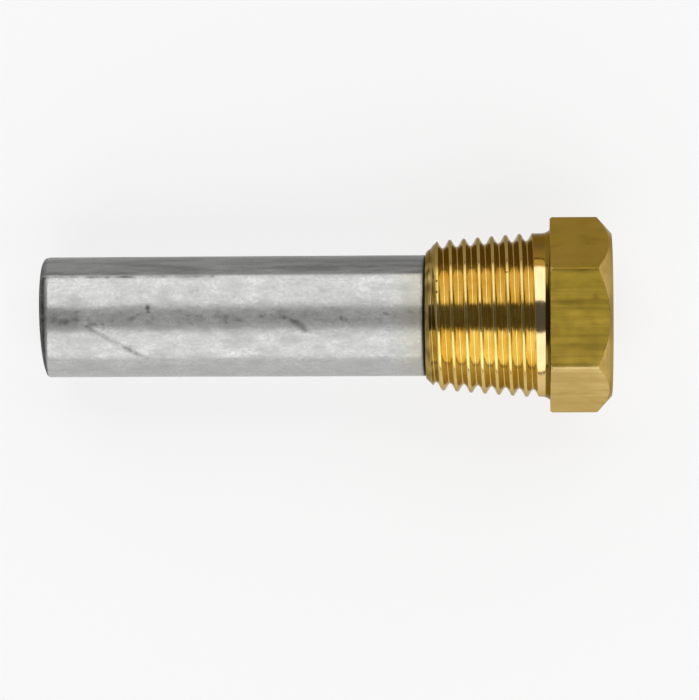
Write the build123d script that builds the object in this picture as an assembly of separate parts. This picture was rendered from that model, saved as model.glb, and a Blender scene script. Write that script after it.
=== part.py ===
# A pencil anode for the cooling water side of a marine engine: a cast zinc pencil whose stud
# is held in the end of a brass pipe plug. The plug screws into a tapered port, so that the
# zinc stands in the water and corrodes in place of the engine.
#
# Both pieces are turned about +Z, with the plug's small end at height 0, the pencil below it
# and the head above. They are laid down at the end: +X runs along the axis from the pencil's
# tip to the head, and the hexagon lies on a flat. The origin is then on the axis in the gauge
# plane of the pipe thread, where the mouth of the port comes when the plug is hand tight.
# Lengths are millimetres and angles are degrees.

import os
from math import atan, ceil, cos, degrees, radians, tan

from build123d import *

INCH = 25.4
FLANK_ANGLE = 30.0  # each flank of a 60 degree thread leans this far from square

# Hexagon head, turned from drawn bar
hex_across_flats = 22.225
hex_corner_radius = 0.4
head_height = 8.05
head_face_diameter = 21.2  # flat end face, inside the turned chamfer
head_chamfer_angle = 42.0  # from the end face
underside_chamfer = 0.25  # takes the burr off the corners behind the head
underside_chamfer_angle = 55.0  # from the underside

# Threaded shank, whose crests run out into a plain neck that flares into the head
shank_length = 16.2  # small end to the underside of the head
neck_length = 1.95
flare_length = 1.15
flare_height = 0.38  # leaves the neck's flare inside the flats

# Tapered pipe thread
pipe_pitch = INCH / 14
pipe_crest_diameter = 19.3  # in the plane of the small end
pipe_taper = 0.16  # change of diameter over length
pipe_crest_flat = 0.18  # share of the pitch
pipe_root_flat = 0.17  # share of the pitch
pipe_first_groove = 0.43  # height of the first groove on the +Y side
pipe_full_end = 1.01  # from the end of the full thread to the flare
pipe_runout_turns = 0.2
pipe_lead_chamfer = 1.4  # measured along the radius
pipe_lead_angle = 45.0
pipe_gauge_length = 8.128  # small end to gauge plane

# Zinc pencil
pencil_diameter = 15.875
pencil_length = 50.05
shoulder_edge_chamfer = 0.35
tip_edge_chamfer = 0.6
tip_crop_angle = 1.6  # the tip is cropped this far off square

# Stud on the pencil, and the blind hole in the plug that takes it
stud_diameter = 11.1
stud_length = 12.7
stud_clearance = 0.08  # between the stud and the wall of the hole
hole_past_stud = 1.8
drill_point_angle = 118.0

cutter_margin = 0.09  # how far a cutter stands out of the metal that it cuts
cutter_turn = 0.5  # largest turn of one piece of the thread cutter

flank_slope = tan(radians(FLANK_ANGLE))
pipe_depth = pipe_pitch * (1 - pipe_crest_flat - pipe_root_flat) / 2 / flank_slope
flare_start = shank_length - flare_length


def pipe_crest_radius(height):
    """Radius over the crests of the pipe thread at a height above the plug's small end."""
    return (pipe_crest_diameter + height * pipe_taper) / 2


def pipe_groove(height):
    """Corners of the groove's section where its middle is at that height, as pairs of radius
    and height from the middle. It widens along its flanks from its floor to its mouth."""
    mouth = pipe_crest_radius(height) + cutter_margin
    floor = pipe_crest_radius(height) - pipe_depth
    floor_width = pipe_root_flat * pipe_pitch
    mouth_width = floor_width + 2 * (mouth - floor) * flank_slope
    return [
        (floor, -floor_width / 2),
        (floor, floor_width / 2),
        (mouth, mouth_width / 2),
        (mouth, -mouth_width / 2),
    ]


def helical_bar(turns, corners, start, half_angle):
    """A bar of four-sided section that winds up a cone about +Z, right-handed, from height
    start on the +X side."""
    rails = [
        Edge.make_helix(
            pipe_pitch / cos(radians(half_angle)),
            turns * pipe_pitch,
            radius,
            center=(0, 0, start + height),
            angle=half_angle,
        )
        for radius, height in corners
    ]
    pairs = list(zip(rails, rails[1:] + rails[:1]))
    sides = [Face.make_surface_from_curves(rail, other) for rail, other in pairs]
    ends = [
        Face(Wire([Edge.make_line(rail @ at, other @ at) for rail, other in pairs]))
        for at in (0, 1)
    ]
    return Solid(Shell(sides + ends))


def pipe_thread_cutters():
    """The groove of the pipe thread in short pieces, end to end, and its run-out. It starts
    a full turn below the first groove, clear of the small end."""
    # On the +Y side a groove is a quarter turn above its start on the +X side.
    start = pipe_first_groove - 1.25 * pipe_pitch
    end = flare_start - pipe_full_end
    turns = (end - start) / pipe_pitch
    pieces = ceil(turns / cutter_turn)
    turn = turns / pieces
    half_angle = degrees(atan(pipe_taper / 2))
    cutters = []
    for piece in range(pieces):
        height = start + piece * turn * pipe_pitch
        bar = helical_bar(turn, pipe_groove(height), height, half_angle)
        cutters.append(Rot(0, 0, 360 * piece * turn) * bar)
    climb_angle = degrees(atan((pipe_depth + cutter_margin) / (pipe_runout_turns * pipe_pitch)))
    runout = helical_bar(pipe_runout_turns, pipe_groove(end), end, climb_angle)
    return cutters + [Rot(0, 0, 360 * turns) * runout]


def shank():
    """The threaded shank, from the small end at height 0. The cone of its crests ends at the
    plain neck, which has its radius there."""
    lead_radius = pipe_crest_radius(0) - pipe_lead_chamfer
    # The chamfer climbs from the end face until it meets the cone of the crests.
    lead_height = pipe_lead_chamfer / (1 / tan(radians(pipe_lead_angle)) - pipe_taper / 2)
    neck_start = flare_start - neck_length
    neck_radius = pipe_crest_radius(neck_start)
    with BuildPart() as blank:
        with BuildSketch(Plane.XZ):
            Polygon(
                (0, 0),
                (lead_radius, 0),
                (pipe_crest_radius(lead_height), lead_height),
                (neck_radius, neck_start),
                (neck_radius, flare_start),
                (neck_radius + flare_height, shank_length),
                (0, shank_length),
                align=None,
            )
        revolve(axis=Axis.Z)
    return blank.part - pipe_thread_cutters()


def head():
    """The hexagon head: drawn bar with a small chamfer turned on the corners of its
    underside and a wider one at its end face."""
    top = shank_length + head_height
    corner = hex_across_flats / 2 / cos(radians(30))
    face_radius = head_face_diameter / 2
    underside_rise = underside_chamfer * tan(radians(underside_chamfer_angle))
    chamfer_fall = (corner - face_radius) * tan(radians(head_chamfer_angle))
    with BuildPart() as bar:
        with BuildSketch(Plane.XY.offset(shank_length)):
            RegularPolygon(hex_across_flats / 2, 6, major_radius=False, rotation=30)
            fillet(vertices(), hex_corner_radius)
        extrude(amount=head_height)
        with BuildSketch(Plane.XZ):
            Polygon(
                (0, shank_length),
                (corner - underside_chamfer, shank_length),
                (corner, shank_length + underside_rise),
                (corner, top - chamfer_fall),
                (face_radius, top),
                (0, top),
                align=None,
            )
        revolve(axis=Axis.Z, mode=Mode.INTERSECT)
    return bar.part


def drilled_hole():
    """The blind hole for the stud, with the cone that the drill's point leaves."""
    radius = stud_diameter / 2 + stud_clearance
    depth = stud_length + hole_past_stud
    point_height = radius / tan(radians(drill_point_angle / 2))
    with BuildPart() as hole:
        with BuildSketch(Plane.XZ):
            Polygon((0, 0), (radius, 0), (radius, depth), (0, depth + point_height), align=None)
        revolve(axis=Axis.Z)
    return hole.part


def brass_plug():
    """Head, neck, threaded shank and blind hole, in one piece of brass."""
    return shank() + head() - drilled_hole()


def rod():
    """The body of the pencil, cast in a round mould, with its cropped tip lowest."""
    radius = pencil_diameter / 2
    lean = radius * tan(radians(tip_crop_angle))
    with BuildPart() as bar:
        with BuildSketch(Plane.YZ):
            Polygon(
                (-radius, 0),
                (radius, 0),
                (radius, -pencil_length - lean),
                (-radius, -pencil_length + lean),
                align=None,
            )
        extrude(amount=radius, both=True)
        with BuildSketch(Plane.XY):
            Circle(radius)
        extrude(amount=-pencil_length - lean, mode=Mode.INTERSECT)
        chamfer(edges().sort_by(Axis.Z)[-1], shoulder_edge_chamfer)
        chamfer(edges().sort_by(Axis.Z)[0], tip_edge_chamfer)
    return bar.part


def zinc_pencil():
    """The body of the pencil with the stud on its shoulder, in one piece of zinc."""
    return rod() + extrude(Circle(stud_diameter / 2), stud_length)


def laid_down(piece):
    """The piece as it lies: its axis along +X and the origin in the gauge plane."""
    return Rot(0, 90, 0) * Pos(0, 0, -pipe_gauge_length) * piece


os.makedirs("parts", exist_ok=True)
export_step(laid_down(brass_plug()), "parts/brass_plug.step")
export_step(laid_down(zinc_pencil()), "parts/zinc_pencil.step")
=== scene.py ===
from math import acos, atan2, cos, hypot, pi, radians, sin, tan

import bpy
from mathutils import Matrix, Vector, noise


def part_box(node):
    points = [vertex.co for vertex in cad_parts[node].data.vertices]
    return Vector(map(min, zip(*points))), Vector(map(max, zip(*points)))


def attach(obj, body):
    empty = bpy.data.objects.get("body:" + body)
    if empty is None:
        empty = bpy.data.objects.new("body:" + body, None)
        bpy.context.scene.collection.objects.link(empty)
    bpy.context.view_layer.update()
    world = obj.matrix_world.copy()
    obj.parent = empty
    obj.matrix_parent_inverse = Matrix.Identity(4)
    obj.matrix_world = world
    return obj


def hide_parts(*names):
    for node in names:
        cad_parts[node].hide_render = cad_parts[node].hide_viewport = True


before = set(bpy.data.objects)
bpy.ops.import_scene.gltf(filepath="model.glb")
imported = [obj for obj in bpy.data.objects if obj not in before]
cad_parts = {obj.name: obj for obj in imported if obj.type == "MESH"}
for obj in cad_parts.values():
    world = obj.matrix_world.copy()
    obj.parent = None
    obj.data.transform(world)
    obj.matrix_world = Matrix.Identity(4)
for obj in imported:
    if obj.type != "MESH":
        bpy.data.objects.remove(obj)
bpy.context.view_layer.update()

MM = 0.001

# Sizes of the two solids in millimetres. Heights run along the axis from the plug's small end
# towards the head, so the pencil's body lies at heights below zero.
plug_low, plug_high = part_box("brass_plug")
pencil_low, pencil_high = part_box("zinc_pencil")
SMALL_END = plug_low[0] / MM
PLUG_LENGTH = (plug_high[0] - plug_low[0]) / MM
HEX_FLAT = plug_high[2] / MM  # from the axis
HEX_CORNER_RADIUS = 0.4
SHANK_LENGTH = 16.2
HEAD_FACE_RADIUS = 10.6
HEAD_CHAMFER = tan(radians(42))  # fall over run
UNDERSIDE_CHAMFER = 0.25
UNDERSIDE_RISE = tan(radians(55))
FLARE_LENGTH = 1.15
FLARE_HEIGHT = 0.38
FLARE_START = SHANK_LENGTH - FLARE_LENGTH
NECK_LENGTH = 1.95
NECK_START = FLARE_START - NECK_LENGTH
LEAD_RADIUS = 8.25  # at the small end, inside the 45 degree chamfer
PITCH = 25.4 / 14
FLANK_SLOPE = tan(radians(30))
CREST_RADIUS = 9.65  # in the plane of the small end
TAPER = 0.08  # change of radius over length
NECK_RADIUS = CREST_RADIUS + TAPER * NECK_START
CREST_FLAT = 0.18 * PITCH
ROOT_FLAT = 0.17 * PITCH
THREAD_DEPTH = (PITCH - CREST_FLAT - ROOT_FLAT) / 2 / FLANK_SLOPE
FIRST_GROOVE = 0.43  # height of its middle on the +Y side
FULL_THREAD_END = 14.04
RUNOUT_TURNS = 0.2
RUNOUT_CLIMB = THREAD_DEPTH + 0.09  # takes the groove clear of the crests
HOLE_RADIUS = 5.63
HOLE_DEPTH = 14.5
DRILL_POINT = tan(radians(59))
STUD_RADIUS = 5.55
STUD_LENGTH = pencil_high[0] / MM - SMALL_END
PENCIL_RADIUS = pencil_high[1] / MM
PENCIL_LENGTH = 50.05
TIP_CROP = tan(radians(1.6))
SHOULDER_EDGE = 0.35

# How far from its corner each edge of the thread starts to round off
ROOT_BLEND = 0.36
CREST_BLEND = 0.14
LEAD_BLEND = 0.15


def to_linear(code):
    """Linear colour, with alpha, of an sRGB hex value."""
    parts = [int(code[i : i + 2], 16) / 255 for i in (1, 3, 5)]
    return [p / 12.92 if p <= 0.04045 else ((p + 0.055) / 1.055) ** 2.4 for p in parts] + [1.0]


def add(tree, kind, inputs=None, **settings):
    """Adds one node and returns its outputs. An input takes a plain value, a hex colour or an
    output of another node."""
    node = tree.nodes.new(kind)
    for name, value in settings.items():
        setattr(node, name, value)
    for name, value in (inputs or {}).items():
        if isinstance(value, bpy.types.NodeSocket):
            tree.links.new(value, node.inputs[name])
        else:
            plain = to_linear(value) if isinstance(value, str) else value
            node.inputs[name].default_value = plain
    return node.outputs


def clamp(value, low=0.0, high=1.0):
    return max(low, min(high, value))


def soft_min(a, b, blend):
    """The lesser of two values, with the corner between them rounded off."""
    near = max(blend - abs(a - b), 0) / blend
    return min(a, b) - near * near * blend / 4


def soft_max(a, b, blend):
    return -soft_min(-a, -b, blend)


def rounded(points, radii, steps=4, support=0.03):
    """A profile with its corners rounded. Each inner corner gives an arc of steps + 1 points
    and one point just outside each end of it, which keeps the shading of its sides flat."""
    line = [points[0]]
    for before, corner, after, radius in zip(points, points[1:], points[2:], radii):
        to_before = Vector(before) - Vector(corner)
        to_after = Vector(after) - Vector(corner)
        reach = 0.45 * min(to_before.length, to_after.length)
        to_before.normalize()
        to_after.normalize()
        turn = acos(clamp(-to_before.dot(to_after), -1, 1))
        cut = min(radius * tan(turn / 2), reach)
        line.append(tuple(Vector(corner) + to_before * min(cut + support, reach * 1.05)))
        for step in range(steps + 1):
            at = step / steps
            # A quadratic curve is close to an arc at these small sizes.
            spot = (
                to_before * (cut * (1 - at) ** 2)
                + to_after * (cut * at**2)
                + Vector(corner)
            )
            line.append(tuple(spot))
        line.append(tuple(Vector(corner) + to_after * min(cut + support, reach * 1.05)))
    return line + [points[-1]]


def skin(name, columns, finishes, finish_of=None):
    """A closed surface around the axis. Each column is an angle and its points of radius and
    height, from a pole on the axis to the other pole. Angles turn from -Z by way of +Y."""
    inner = len(columns[0][1]) - 2
    points = [(columns[0][1][0][1], 0.0, 0.0)]
    for angle, profile in columns:
        y, z = sin(angle), -cos(angle)
        points += [(height, radius * y, radius * z) for radius, height in profile[1:-1]]
    points.append((columns[0][1][-1][1], 0.0, 0.0))
    end = len(points) - 1
    faces = []
    for here in range(len(columns)):
        there = (here + 1) % len(columns)
        a, b = 1 + here * inner, 1 + there * inner
        faces.append((0, a, b))
        faces += [(b + row, a + row, a + row + 1, b + row + 1) for row in range(inner - 1)]
        faces.append((end, b + inner - 1, a + inner - 1))
    mesh = bpy.data.meshes.new(name)
    mesh.from_pydata(
        [((SMALL_END + x) * MM, y * MM, z * MM) for x, y, z in points], [], faces
    )
    mesh.validate()
    for finish in finishes:
        mesh.materials.append(finish)
    for polygon in mesh.polygons:
        polygon.use_smooth = True
        if finish_of:
            polygon.material_index = finish_of(polygon.center / MM - Vector((SMALL_END, 0, 0)))
    piece = bpy.data.objects.new(name, mesh)
    bpy.context.collection.objects.link(piece)
    return piece


def hexagon_columns():
    """Angle and distance from the axis of points around the hexagon, with rounded corners.
    The columns are close together at the corners and beside them."""
    half = (HEX_FLAT - HEX_CORNER_RADIUS) * tan(radians(30))
    beside = 0.05
    across = [-half, -half + beside]
    across += [half * 0.97 * step / 10 for step in range(-10, 11)]
    across += [half - beside, half]
    corner = (HEX_FLAT - HEX_CORNER_RADIUS) / cos(radians(30))
    columns = []
    for side in range(6):
        middle = side * pi / 3
        for along in across:
            columns.append((middle + atan2(along, HEX_FLAT), hypot(HEX_FLAT, along)))
        for turn in range(-20, 30, 10):
            out = corner + HEX_CORNER_RADIUS * cos(radians(turn))
            along = HEX_CORNER_RADIUS * sin(radians(turn))
            columns.append((middle + pi / 6 + atan2(along, out), hypot(out, along)))
    return columns


def shank_radius(angle, height):
    """Radius of the shank's skin at one place: blank, less the groove of the pipe thread."""
    cone = CREST_RADIUS + TAPER * height
    radius = soft_min(LEAD_RADIUS + height, min(cone, NECK_RADIUS), LEAD_BLEND)
    # The helix starts a turn below the first groove, and a quarter turn before the +Y side.
    start = FIRST_GROOVE - 1.25 * PITCH
    turns = (FULL_THREAD_END - start) / PITCH
    turn = angle / (2 * pi) + round((height - start) / PITCH - angle / (2 * pi))
    for at in (turn - 1, turn, turn + 1):
        if at > turns + RUNOUT_TURNS:
            continue
        lift = max(0.0, at - turns) / RUNOUT_TURNS * RUNOUT_CLIMB
        from_middle = abs(height - start - at * PITCH)
        flank = (from_middle - ROOT_FLAT / 2) / FLANK_SLOPE
        groove = cone - THREAD_DEPTH + lift + soft_max(0.0, flank, ROOT_BLEND)
        radius = soft_min(radius, groove, CREST_BLEND)
    return radius


def plug_columns():
    """The whole skin of the plug, from the bottom of its hole out to the middle of its face."""
    rows = 320
    low, high = 0.06, FLARE_START - 0.3
    heights = [low + (high - low) * row / rows for row in range(rows + 1)]
    corner_radius = HEX_FLAT / cos(radians(30))
    hole = [
        (0.0, HOLE_DEPTH + HOLE_RADIUS / DRILL_POINT),
        (HOLE_RADIUS, HOLE_DEPTH),
        (HOLE_RADIUS, 0.0),
        (LEAD_RADIUS - low, 0.0),
    ]
    # Two rings on the end face keep its shading flat.
    face_rings = [(9.9, PLUG_LENGTH), (9.4, PLUG_LENGTH)]
    columns = []
    for angle, hex_radius in hexagon_columns():
        shank = [(shank_radius(angle, height), height) for height in heights]
        flat_radius = min(hex_radius, corner_radius - UNDERSIDE_CHAMFER)
        edge_break = max(0.02, (hex_radius - flat_radius) * UNDERSIDE_RISE)
        under_radius = min(flat_radius, hex_radius - 0.02)
        chamfer_start = PLUG_LENGTH - (hex_radius - HEAD_FACE_RADIUS) * HEAD_CHAMFER
        # Each inner corner comes with the radius that rounds it.
        corners = [
            (NECK_RADIUS, FLARE_START + 0.05, 2.0),
            (NECK_RADIUS + 0.06, FLARE_START + 0.47, 0.6),
            (NECK_RADIUS + FLARE_HEIGHT, SHANK_LENGTH, 0.7),
            (under_radius, SHANK_LENGTH, 0.1),
            (hex_radius, SHANK_LENGTH + edge_break, 0.1),
            (hex_radius, chamfer_start, 0.14),
            (HEAD_FACE_RADIUS, PLUG_LENGTH, 0.2),
        ]
        points = [corner[:2] for corner in corners]
        points = [(NECK_RADIUS, FLARE_START - 0.25), *points, (0.0, PLUG_LENGTH)]
        head = rounded(points, [corner[2] for corner in corners])
        columns.append((angle, hole + shank + head[:-1] + face_rings + head[-1:]))
    return columns


# Marks on the pencil, in millimetres along X and around the girth from the top towards +Y:
# where one starts and ends, its half width, its depth and how dark it has gone.
PENCIL_MARKS = [
    ((-51.7, -0.9), (-44.3, -5.7), 0.52, 0.020, 0.38),  # long scratch across the near side
    ((-46.9, -3.8), (-45.6, -4.7), 0.55, 0.008, 0.22),
    ((-26.7, 0.8), (-23.4, -1.4), 0.62, 0.020, 0.52),  # short scratch in the middle
    ((-27.8, 0.4), (-26.2, 0.1), 0.50, 0.008, 0.36),
    ((-26.9, 1.2), (-24.9, -0.2), 0.22, 0.004, -0.30),  # bare metal beside it
    ((-43.9, 1.5), (-43.8, 0.9), 0.42, 0.060, 0.70),  # nick
    ((-43.4, 0.4), (-43.2, 0.3), 0.28, 0.0, -0.6),
    ((-44.9, -4.0), (-44.2, -3.6), 0.60, 0.0, -0.34),  # rubbed bright
    ((-49.4, 6.0), (-49.2, 6.0), 0.30, 0.020, 0.50),
    ((-51.3, -0.5), (-50.6, -0.7), 0.40, 0.012, 0.42),
    ((-58.0, 0.8), (-53.5, 0.2), 1.60, 0.004, 0.34),  # handled dark behind the tip
    ((-56.8, -0.7), (-53.5, -1.2), 0.90, 0.006, 0.20),
    ((-55.9, 0.2), (-54.3, -0.4), 0.50, 0.006, 0.26),
    ((-46.2, 0.0), (-45.6, 0.1), 0.34, 0.010, 0.36),
    ((-40.1, 1.0), (-39.6, 1.0), 0.34, 0.006, 0.30),
    ((-37.4, 0.3), (-36.9, 0.2), 0.40, 0.006, 0.30),
    ((-34.6, 0.3), (-33.6, 0.3), 0.48, 0.008, 0.36),
    ((-32.7, 0.0), (-31.5, -0.2), 0.40, 0.008, 0.28),
    ((-18.8, 0.1), (-18.2, 0.0), 0.40, 0.008, 0.36),
    ((-13.3, 0.6), (-12.9, 0.5), 0.34, 0.006, 0.30),
    ((-10.1, 0.8), (-9.6, 0.6), 0.40, 0.008, 0.34),
    ((-33.0, 5.85), (-13.0, 5.8), 0.2, 0.003, -0.5),
]
PARTING_LINE = 6.05  # around the girth, where the halves of the mould met
PARTING_LINE_END = -35.5  # along X, where it has worn away


def near_mark(along, around, start, end, width):
    """1 in the middle of a mark, falling to 0 at its edge."""
    line = Vector(end) - Vector(start)
    off = Vector((along, around)) - Vector(start)
    off -= line * clamp(off.dot(line) / line.length_squared)
    return (1 - clamp(off.length / width) ** 2) ** 2


def pencil_marks(along, around):
    """Depth and darkness that the marks add at one place on the pencil."""
    depth = dark = 0.0
    for start, end, width, deep, shade in PENCIL_MARKS:
        low, high = min(start[0], end[0]) - width, max(start[0], end[0]) + width
        if low < along < high:
            near = near_mark(along, around, start, end, width)
            depth += near * deep
            dark += near * shade
    if along < PARTING_LINE_END:
        seam = near_mark(along, around, (-60, PARTING_LINE), (-30, PARTING_LINE), 0.36)
        seam *= clamp(0.55 + 1.3 * noise.noise(Vector((along * 0.5, 3.0, 1.0))))
        depth += 0.012 * seam
        dark += 0.8 * seam
    return depth, dark


def tip_edge(angle):
    """How far the cropping blade has rolled the tip's edge over. It entered from the top."""
    return 0.6 + 0.62 * max(0.0, -cos(angle)) - 0.1 * max(0.0, -sin(angle))


def tip_smear_and_shade(angle):
    """How far up the side the metal is smeared, and painted dark as shade, behind the tip's edge.
    """
    return 0.24 + 0.72 * max(0.0, -cos(angle)) ** 0.8


def pencil_columns():
    """The skin of the pencil, from the middle of its cropped tip to the end of its stud. The
    mould leaves it slightly uneven and a little slimmer at the tip, never over its full size."""
    count, body_rows, tip_rows = 250, 290, 12
    waviness, ripple, draft = 0.014, 0.0035, 0.045
    tip = -PENCIL_LENGTH
    tip_zone = tip + 1.6
    start, stop = tip + 1.75, -0.7
    heights = [start + (stop - start) * row / body_rows for row in range(body_rows + 1)]
    body = [(PENCIL_RADIUS, height) for height in heights]
    shoulder = rounded(
        [
            (PENCIL_RADIUS, -0.65),
            (PENCIL_RADIUS, 0.0),
            (STUD_RADIUS, 0.0),
            (STUD_RADIUS, STUD_LENGTH),
            (0.0, STUD_LENGTH),
        ],
        [SHOULDER_EDGE, 0.03, 0.15],
    )
    columns = []
    for number in range(count):
        angle = 2 * pi * number / count
        y = sin(angle)
        around = PENCIL_RADIUS * (pi - angle)
        edge = tip_edge(angle)
        rolled = rounded(
            [
                (0.0, tip),
                (PENCIL_RADIUS - 1.9, tip),
                (PENCIL_RADIUS - 1.1 * edge, tip),
                (PENCIL_RADIUS - 0.4 * edge, tip + 0.35 * edge),
                (PENCIL_RADIUS - 0.02, tip + edge),
                (PENCIL_RADIUS, tip_zone),
            ],
            [0.05, 0.5 * edge, 0.7 * edge, 0.05],
            steps=5,
        )[:-1]
        last = rolled[-1][1]
        heights = [last + (tip_zone - last) * row / tip_rows for row in range(1, tip_rows + 1)]
        behind = [(PENCIL_RADIUS, height) for height in heights]
        column = []
        for radius, height in rolled + behind + body + shoulder:
            if height < -0.3 and radius > PENCIL_RADIUS - 0.06:
                spot = Vector((height / 7, y * 1.8, cos(angle) * 1.8))
                radius -= waviness * (1 + noise.noise(spot))
                radius -= ripple * (1 + noise.noise(spot * 3.7))
                radius -= draft * clamp(height / tip)
                radius -= pencil_marks(SMALL_END + height, around)[0]
            slant = clamp((tip + edge - height) / edge)
            height -= slant * radius * y * TIP_CROP
            column.append((radius, height))
        columns.append((angle, column))
    return columns


def stain(piece, name, amount):
    """Stores for each point how far it is dirty, smeared or painted with shade, for the material
    to read.
    """
    stored = piece.data.attributes.new(name, "FLOAT", "POINT")
    for number, point in enumerate(piece.data.vertices):
        x, y, z = point.co / MM
        stored.data[number].value = amount(x - SMALL_END, y, z)


def pencil_marks_and_shade(height, y, z):
    """The marks, and shade painted in the corner between the shoulder and the plug."""
    # Painted shade in the corner at the shoulder
    corner = clamp((height + 0.32) / 0.08) * 3
    return max(corner, pencil_marks(SMALL_END + height, PENCIL_RADIUS * atan2(y, z))[1])


def pencil_smear_and_shade(height, y, z):
    """Where the cropping blade sheared the tip and smeared the metal behind its edge. Shade is
    painted there, darker than on the sheared face."""
    out = hypot(y, z)
    face = clamp((PENCIL_RADIUS - 1.3 - out) / 0.5)
    behind_edge = (tip_smear_and_shade(atan2(y, -z)) - PENCIL_LENGTH - height) / 0.1 + 0.5
    past_line = clamp((PENCIL_RADIUS * atan2(y, z) - PARTING_LINE) / 0.4)
    faint = past_line * clamp((out - PENCIL_RADIUS + 0.6) / 0.3)
    return clamp(behind_edge) * (1 - 0.4 * face) * (1 - 0.5 * faint)


def plug_darkening_and_shade(height, y, z):
    """Darker, unevenly, at the small end and around the edge of its face, and shade painted in the
    corner under the head.
    """
    out = hypot(y, z)
    uneven = 0.62 + 0.5 * noise.noise(Vector((height, y * 0.6, z * 0.6)))
    small_end = uneven * clamp((1.5 - height) / 0.9)
    # Painted shade in the corner under the head
    corner = 0.42 * clamp((height - SHANK_LENGTH + 0.69) / 0.14) * clamp((12.0 - out) / 0.7)
    if height > SHANK_LENGTH + 0.01:
        corner = 0.0
    rim = 0.4 * clamp((out - 10.1) / 0.4) * clamp((11.8 - out) / 0.6)
    rim *= clamp((height - PLUG_LENGTH + 0.92) / 0.5)
    return max(small_end, corner, rim)


def new_finish(name, patterns, fineness=0.55):
    """Starts a material: where each point is in millimetres, and patterns of noise. A pattern
    has the size of its patches in millimetres, how far they are squeezed on each axis and how
    many finer sizes it also has. These show more as the fineness rises."""
    material = bpy.data.materials.new(name)
    material.use_nodes = True
    tree = material.node_tree
    tree.nodes.clear()
    place = add(tree, "ShaderNodeTexCoord")["Object"]
    place = add(tree, "ShaderNodeVectorMath", {0: place, "Scale": 1 / MM}, operation="SCALE")[0]
    axes = add(tree, "ShaderNodeSeparateXYZ", {"Vector": place})
    values = {"place": place, "along": axes["X"], "side": axes["Y"]}
    for pattern, (size, squeeze, detail) in patterns.items():
        squeezed = add(tree, "ShaderNodeMapping", {"Vector": place, "Scale": squeeze})["Vector"]
        inputs = {"Vector": squeezed, "Scale": 0.5 / size, "Detail": detail, "Roughness": fineness}
        values[pattern] = add(tree, "ShaderNodeTexNoise", inputs)["Fac"]
    return material, tree, values


def coated(tree, base, coats):
    """Lays coats over a base colour. Each has the value that carries it, where it starts and
    where it is full, how much it covers there, and its colour."""
    for carrier, start, full, cover, colour in coats:
        inputs = {"Value": carrier, "From Min": start, "From Max": full, "To Max": cover}
        amount = add(tree, "ShaderNodeMapRange", inputs)["Result"]
        base = add(tree, "ShaderNodeMix", {0: amount, 6: base, 7: colour}, data_type="RGBA")[2]
    return base


def finish_off(tree, metallic, tint, colour, rough, relief, depth):
    """The shader of a finish, with its relief, whose depth is in millimetres."""
    inputs = {"Strength": 1.0, "Distance": depth * MM, "Height": relief}
    normal = add(tree, "ShaderNodeBump", inputs)["Normal"]
    inputs = {
        "Metallic": metallic,
        "Specular Tint": tint,
        "Base Color": colour,
        "Roughness": rough,
        "Normal": normal,
    }
    shader = add(tree, "ShaderNodeBsdfPrincipled", inputs)["BSDF"]
    add(tree, "ShaderNodeOutputMaterial", {"Surface": shader})


# Colour of bare brass seen almost edge on
BRASS_EDGE_ON = "#D2C6B0"

# Small pits in the first and last grooves: their places in millimetres
PITS = [(-6.55, 4.8, 8.6), (-6.55, 3.4, 9.2), (2.52, 5.8, 8.6)]


def turned_brass(name, clean, dull, painted_shade, roughness, line_gap, line_shade, line_depth):
    """Free-cutting brass as a lathe tool leaves it: bright, with fine marks around the axis,
    dulled unevenly by handling, with shade painted darker along its +Y side and on some surfaces
    its -Y side."""
    material, tree, values = new_finish(name, {"patches": (1.6, (0.8, 1, 1), 4.0)})
    place = values["place"]
    # Along the axis and out from it, so that the marks run around. The part that comes from Y
    # breaks them up a little on the way.
    across = add(tree, "ShaderNodeVectorMath", {0: place, 1: (0, 1, 1)}, operation="MULTIPLY")[0]
    out = add(tree, "ShaderNodeVectorMath", {0: across}, operation="LENGTH")["Value"]
    drift = add(tree, "ShaderNodeMath", {0: values["side"], 1: 0.012}, operation="MULTIPLY")[0]
    turned = add(tree, "ShaderNodeCombineXYZ", {"X": values["along"], "Y": out, "Z": drift})
    # Feed marks of a finishing cut are 0.05 to 0.1 mm apart. They are drawn further apart, as
    # closer ones don't show.
    inputs = {"Vector": turned["Vector"], "Scale": 0.5 / line_gap, "Detail": 2.0}
    marks = add(tree, "ShaderNodeTexNoise", inputs)["Fac"]
    inputs = {0: values["patches"], 1: 1.2, 2: values["side"]}
    values["ragged side"] = add(tree, "ShaderNodeMath", inputs, operation="MULTIPLY_ADD")[0]
    coats = [(values["patches"], 0.38, 0.68, 1.0, dull), (marks, 0.48, 0.7, line_shade, "#7A5E28")]
    # Shade painted along the sides, and on the neck in the corner under the head
    coats += [(values[carrier], *reach) for carrier, *reach in painted_shade]
    # Dark at the small end and round the face's edge, and painted shade in the corner under the
    # head
    darkening_and_shade = add(tree, "ShaderNodeAttribute", attribute_name="darkening_and_shade")["Fac"]
    coats.append((darkening_and_shade, 0.0, 1.0, 1.0, "#3C2F14"))
    for pit in PITS:
        away = add(tree, "ShaderNodeVectorMath", {0: place, 1: pit}, operation="DISTANCE")["Value"]
        coats.append((away, 0.24, 0.12, 0.9, "#2C2412"))
    inputs = {
        "Value": marks,
        "From Min": 0.3,
        "From Max": 0.7,
        "To Min": roughness * 0.75,
        "To Max": roughness * 1.3,
    }
    rough = add(tree, "ShaderNodeMapRange", inputs)["Result"]
    finish_off(tree, 1.0, BRASS_EDGE_ON, coated(tree, clean, coats), rough, marks, line_depth)
    return material


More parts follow.
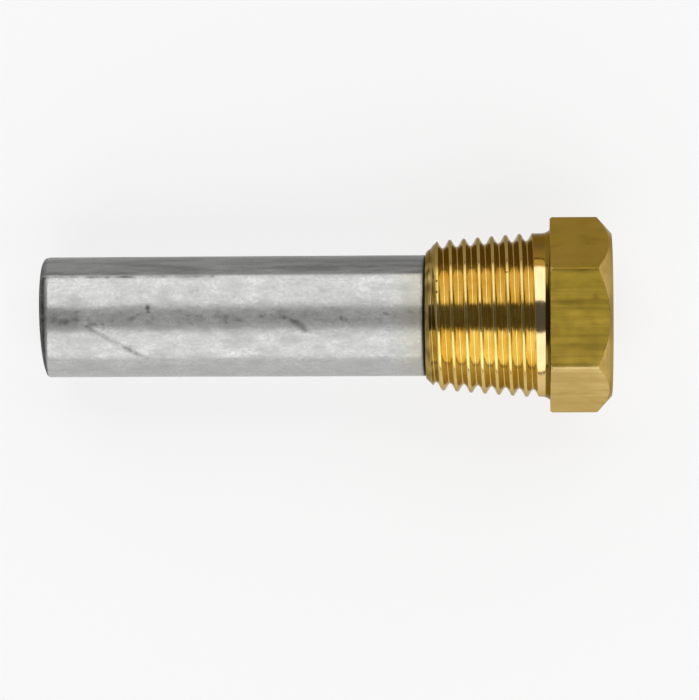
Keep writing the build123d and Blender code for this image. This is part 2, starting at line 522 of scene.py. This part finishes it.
def drawn_brass(name):
    """Free-cutting brass as drawn bar: dull satin, with streaks along it from the die and a
    greenish brown tarnish in bands. Light and shade are painted on flat by flat, darkest on its +Y
    side."""
    patterns = {
        # Die lines are a few hundredths of a millimetre apart. They are drawn at 0.3 mm.
        "lines": (0.3, (0.03, 1, 1), 3.0),
        # Tarnish lies in bands 1 to 2 mm wide along the bar, with spots of about 1 mm.
        "bands": (1.5, (0.12, 1, 1), 2.0),
        "blots": (0.9, (0.5, 1.2, 1.2), 4.0),
        "patches": (1.8, (1, 1, 1), 2.0),
    }
    material, tree, values = new_finish(name, patterns)
    coats = [
        # Painted light and shade by flat: deeper yellow above the lower flat, lighter towards +Y,
        # and the upper flat dark
        (values["side"], -6.4, -6.0, 1.0, "#DDBC50"),
        (values["side"], -4.0, 4.0, 0.9, "#F2D054"),
        (values["side"], 5.9, 6.3, 1.0, "#937634"),
        (values["patches"], 0.42, 0.65, 0.34, "#7C6626"),
        (values["bands"], 0.42, 0.6, 0.5, "#8A7320"),
        (values["lines"], 0.44, 0.66, 0.45, "#8C7630"),
        (values["blots"], 0.62, 0.74, 0.5, "#6E5522"),
        # Painted light on the lower flat, paler than the near flat
        (values["side"], -6.2, -6.5, 0.6, "#CDAF6A"),
    ]
    inputs = {
        "Value": values["blots"],
        "From Min": 0.3,
        "From Max": 0.7,
        "To Min": 0.42,
        "To Max": 0.58,
    }
    rough = add(tree, "ShaderNodeMapRange", inputs)["Result"]
    colour = coated(tree, "#F6E0A2", coats)
    finish_off(tree, 1.0, BRASS_EDGE_ON, colour, rough, values["lines"], 0.006)
    return material


def cast_zinc(name):
    """Zinc from a metal mould, under a thin dull skin of oxide: grey, part mirror and part
    chalky, clouded in patches, with marks of handling that have gone dark. Where the tip was
    cropped it is sheared, smeared and rougher. Shade is painted on its sides, on the tip and at
    the shoulder, and a reflection of the brass is painted near the plug."""
    patterns = {
        # Clouds of oxide are 1 to 2 mm long.
        "clouds": (0.85, (0.6, 1, 1), 5.0),
        # Crystals of the skin are under 0.1 mm across. They are drawn at 0.2 mm.
        "crystals": (0.2, (0.8, 1, 1), 3.0),
        "specks": (0.4, (0.7, 1, 1), 3.0),
        # Streaks along the pencil, and those that the blade dragged down its sheared face
        "streaks": (0.5, (0.12, 1, 1), 3.0),
        "drag": (0.3, (1, 1, 0.06), 2.0),
    }
    material, tree, values = new_finish(name, patterns, 0.68)
    darkening_and_shade = add(tree, "ShaderNodeAttribute", attribute_name="darkening_and_shade")["Fac"]
    smear_and_shade = add(tree, "ShaderNodeAttribute", attribute_name="smear_and_shade")["Fac"]
    # Specks darken more towards the top and bottom lines.
    off_line = add(tree, "ShaderNodeMath", {0: values["side"]}, operation="ABSOLUTE")[0]
    inputs = {0: off_line, 1: -0.09, 2: values["specks"]}
    specks_near_top_and_bottom = add(tree, "ShaderNodeMath", inputs, operation="MULTIPLY_ADD")[0]
    # Past the mould's parting line, on the +Y side, the skin is streaked and painted darker as
    # shade, the more so towards the plug. Near the plug a reflection of the brass is painted on.
    inputs = {"Value": values["side"], "From Min": 5.45, "From Max": 5.75}
    past_line = add(tree, "ShaderNodeMapRange", inputs)["Result"]
    inputs = {0: past_line, 1: values["streaks"]}
    streaked = add(tree, "ShaderNodeMath", inputs, operation="MULTIPLY")[0]
    inputs = {0: values["along"], 1: 0.04, 2: values["side"]}
    far_side = add(tree, "ShaderNodeMath", inputs, operation="MULTIPLY_ADD")[0]
    # A yellowish reflection of the brass, painted on near the plug
    inputs = {0: values["clouds"], 1: 6.0, 2: values["along"]}
    painted_brass_reflection = add(tree, "ShaderNodeMath", inputs, operation="MULTIPLY_ADD")[0]
    inputs = {
        "Value": values["specks"],
        "From Min": 0.3,
        "From Max": 0.62,
        "To Min": 0.45,
        "To Max": 1.2,
    }
    ragged = add(tree, "ShaderNodeMapRange", inputs)["Result"]
    # Dark marks, and the painted shade at the shoulder, broken up by the specks
    worn_and_shaded = add(tree, "ShaderNodeMath", {0: darkening_and_shade, 1: ragged}, operation="MULTIPLY")[0]
    sheared = add(tree, "ShaderNodeMath", {0: smear_and_shade, 1: values["drag"]}, operation="MINIMUM")[0]
    coats = [
        (values["clouds"], 0.28, 0.68, 1.0, "#DDDDDB"),
        (values["crystals"], 0.34, 0.68, 0.72, "#ADADAB"),
        (values["specks"], 0.64, 0.78, 0.5, "#6F6F6D"),
        (specks_near_top_and_bottom, 0.48, 0.66, 0.38, "#6A6A68"),
        (values["streaks"], 0.5, 0.7, 0.2, "#8A8A88"),
        # Painted reflection of the brass
        (painted_brass_reflection, -9.5, -6.0, 0.4, "#B7B08E"),
        # Painted shade past the parting line
        (past_line, 0.0, 1.0, 0.83, "#70706F"),
        (streaked, 0.42, 0.62, 0.5, "#4A4A49"),
        # Painted shade on the +Y side, deeper towards the plug
        (far_side, 5.2, 7.2, 0.5, "#4E4E4D"),
        # Painted shade on the -Y side
        (values["side"], -5.0, -6.6, 0.5, "#A4A4A2"),
        # Dark marks, and painted shade at the shoulder
        (worn_and_shaded, 0.0, 1.0, 1.0, "#2E2B26"),
        (darkening_and_shade, 0.0, -1.0, 1.0, "#F2F2F0"),
        # Painted shade on the cropped tip and behind its edge
        (smear_and_shade, 0.0, 1.0, 1.0, "#343433"),
        (sheared, 0.4, 0.65, 0.45, "#747472"),
    ]
    inputs = {
        "Value": values["clouds"],
        "From Min": 0.3,
        "From Max": 0.7,
        "To Min": 0.33,
        "To Max": 0.25,
    }
    cast = add(tree, "ShaderNodeMapRange", inputs)["Result"]
    rough = add(tree, "ShaderNodeMix", {0: smear_and_shade, 2: cast, 3: 0.5})[0]
    colour = coated(tree, "#ADADAB", coats)
    finish_off(tree, 0.5, "#D8D8D8", colour, rough, values["crystals"], 0.008)
    return material


# On each turned surface the painted shade has its own colours and reach.
threads = turned_brass(
    "turned_brass_threads",
    clean="#E9D28C",
    dull="#DABC6A",
    painted_shade=[
        ("ragged side", 1.0, 4.0, 0.3, "#A8853F"),
        ("ragged side", 6.4, 7.7, 0.92, "#8E7644"),
        ("side", -5.5, -7.5, 0.25, "#A98A4A"),
    ],
    roughness=0.15,
    line_gap=0.18,
    line_shade=0.12,
    line_depth=0.0012,
)
neck = turned_brass(
    "turned_brass_neck",
    clean="#E7CD9C",
    dull="#E1C288",
    painted_shade=[
        ("ragged side", 6.95, 7.35, 1.0, "#8D6B28"),
        ("ragged side", 8.4, 9.8, 0.9, "#6B5226"),
        ("side", -5.0, -7.4, 0.6, "#DDBB70"),
        # Painted shade in the corner under the head
        ("along", 7.36, 7.5, 1.0, "#8A6D2C"),
    ],
    roughness=0.12,
    line_gap=0.18,
    line_shade=0.1,
    line_depth=0.0008,
)
face = turned_brass(
    "turned_brass_face",
    clean="#D6B870",
    dull="#C8A85E",
    painted_shade=[("ragged side", 6.0, 8.6, 0.5, "#A8884A")],
    roughness=0.26,
    line_gap=0.22,
    line_shade=0.1,
    line_depth=0.002,
)
flats = drawn_brass("drawn_brass_flats")
zinc = cast_zinc("cast_zinc")


# Places of the plug's finishes in its list of them
THREADS, NECK, FLATS, FACE = range(4)


def plug_finish(spot):
    """Which finish a place on the plug has."""
    radius = hypot(spot.y, spot.z)
    if spot.x < SHANK_LENGTH - 0.02:
        plain = spot.x > FLARE_START - 0.3 or radius > NECK_RADIUS - 0.03
        return NECK if plain and spot.x > NECK_START - 0.1 else THREADS
    on_flat = max(abs(spot.z * cos(turn) + spot.y * sin(turn)) for turn in (0, pi / 3, -pi / 3))
    if on_flat > HEX_FLAT - 0.02:
        return FLATS
    rounded_corner = radius > 12.2 and SHANK_LENGTH + 0.8 < spot.x < SHANK_LENGTH + 6.3
    return FLATS if rounded_corner else FACE


plug = skin("plug_skin", plug_columns(), [threads, neck, flats, face], plug_finish)
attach(plug, "root")
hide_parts("brass_plug")
stain(plug, "darkening_and_shade", plug_darkening_and_shade)
pencil = skin("pencil_skin", pencil_columns(), [zinc])
stain(pencil, "darkening_and_shade", pencil_marks_and_shade)
stain(pencil, "smear_and_shade", pencil_smear_and_shade)
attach(pencil, "root")
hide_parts("zinc_pencil")


# The floor touches the hexagon's lower flat at its rear edge and the pencil at its tip, short
# of the edge that is rolled over.
slope = (HEX_FLAT - PENCIL_RADIUS) / (SHANK_LENGTH + PENCIL_LENGTH - 0.6)
normal = Vector((slope, 0, 1)).normalized()
along = Vector((1, 0, -slope)).normalized()
across = Vector((0, 1, 0))
contact = Vector(((SMALL_END + SHANK_LENGTH) * MM, 0, -HEX_FLAT * MM))
level = Matrix((along, across, normal)).transposed().to_4x4()

bpy.ops.mesh.primitive_plane_add(size=6)
ground = bpy.context.object
ground.name = "floor"
ground.matrix_world = Matrix.Translation(contact) @ level
# Matt white card. The camera and mirror-like metal see it part lit from within, which makes
# it nearly white and keeps the shadow.
pale = bpy.data.materials.new("pale_floor")
pale.use_nodes = True
tree = pale.node_tree
tree.nodes.clear()
ray = add(tree, "ShaderNodeLightPath")
seen = ray["Is Camera Ray"]
for kind in ("Is Glossy Ray", "Is Transmission Ray"):
    seen = add(tree, "ShaderNodeMath", {0: seen, 1: ray[kind]}, operation="MAXIMUM")[0]
lit_within = add(tree, "ShaderNodeMath", {0: seen, 1: 0.74}, operation="MULTIPLY")[0]
card = add(tree, "ShaderNodeBsdfPrincipled", {"Base Color": "#F6F6F6", "Roughness": 0.9})["BSDF"]
glow = add(tree, "ShaderNodeEmission", {"Color": "#FFFFFF", "Strength": 1.0})["Emission"]
both = add(tree, "ShaderNodeMixShader", {0: lit_within, 1: card, 2: glow})["Shader"]
add(tree, "ShaderNodeOutputMaterial", {"Surface": both})
ground.data.materials.append(pale)

# The camera looks down almost square to the floor, from a little beyond the part's +Y side.
CAMERA_DISTANCE = 475.0
PIXEL = 0.1313  # millimetres on the axis that one pixel of the photograph covers
PICTURE_WIDTH = 699
SENSOR = 36
LEAN = 2.7
ROLL = -0.385
aim = Vector((-18.19 * MM, -4.47 * MM, 0))  # in the middle of the picture
camera_data = bpy.data.cameras.new("camera")
camera = bpy.data.objects.new("camera", camera_data)
bpy.context.collection.objects.link(camera)
camera_data.sensor_width = SENSOR
camera_data.lens = SENSOR * CAMERA_DISTANCE / PIXEL / PICTURE_WIDTH
camera_data.clip_start = 0.01
turned = level @ Matrix.Rotation(radians(-LEAN), 4, "X") @ Matrix.Rotation(radians(ROLL), 4, "Z")
camera.matrix_world = (
    Matrix.Translation(aim) @ turned @ Matrix.Translation((0, 0, CAMERA_DISTANCE * MM))
)
bpy.context.scene.camera = camera


def panel(name, side, inner, outer, start, stop):
    """A long soft panel beside the part. It spans two angles from the way the camera looks,
    and two distances along the part."""
    distance, radiance = 0.6, 1.5
    middle = radians((inner + outer) / 2)
    width = 2 * distance * tan(radians((outer - inner) / 2))
    lamp = bpy.data.lights.new(name, "AREA")
    lamp.shape = "RECTANGLE"
    lamp.size = stop - start
    lamp.size_y = width
    lamp.energy = radiance * pi * lamp.size * width
    rig = bpy.data.objects.new(name, lamp)
    bpy.context.collection.objects.link(rig)
    out = (across * side * sin(middle) + normal * cos(middle)).normalized()
    facing = Matrix((along, out.cross(along), out)).transposed().to_4x4()
    place = aim + out * distance + along * (start + stop) / 2
    rig.matrix_world = Matrix.Translation(place) @ facing
    rig.visible_camera = False


# Two soft panels, with a dark gap overhead
panel("panel_far", side=1, inner=22.5, outer=86, start=-0.6, stop=0.6)
panel("panel_near", side=-1, inner=22.5, outer=84, start=-0.6, stop=0.8)

# A dim room, lighter towards its walls than overhead
world = bpy.data.worlds.new("studio")
bpy.context.scene.world = world
world.use_nodes = True
tree = world.node_tree
tree.nodes.clear()
direction = add(tree, "ShaderNodeTexCoord")["Generated"]
height = add(tree, "ShaderNodeSeparateXYZ", {"Vector": direction})["Z"]
inputs = {"Value": height, "From Min": 0.0, "From Max": 0.5, "To Min": 0.28, "To Max": 0.09}
strength = add(tree, "ShaderNodeMapRange", inputs)["Result"]
room = add(tree, "ShaderNodeBackground", {"Color": "#FFFFFF", "Strength": strength})["Background"]
add(tree, "ShaderNodeOutputWorld", {"Surface": room})

bpy.context.scene.view_settings.view_transform = "Standard"
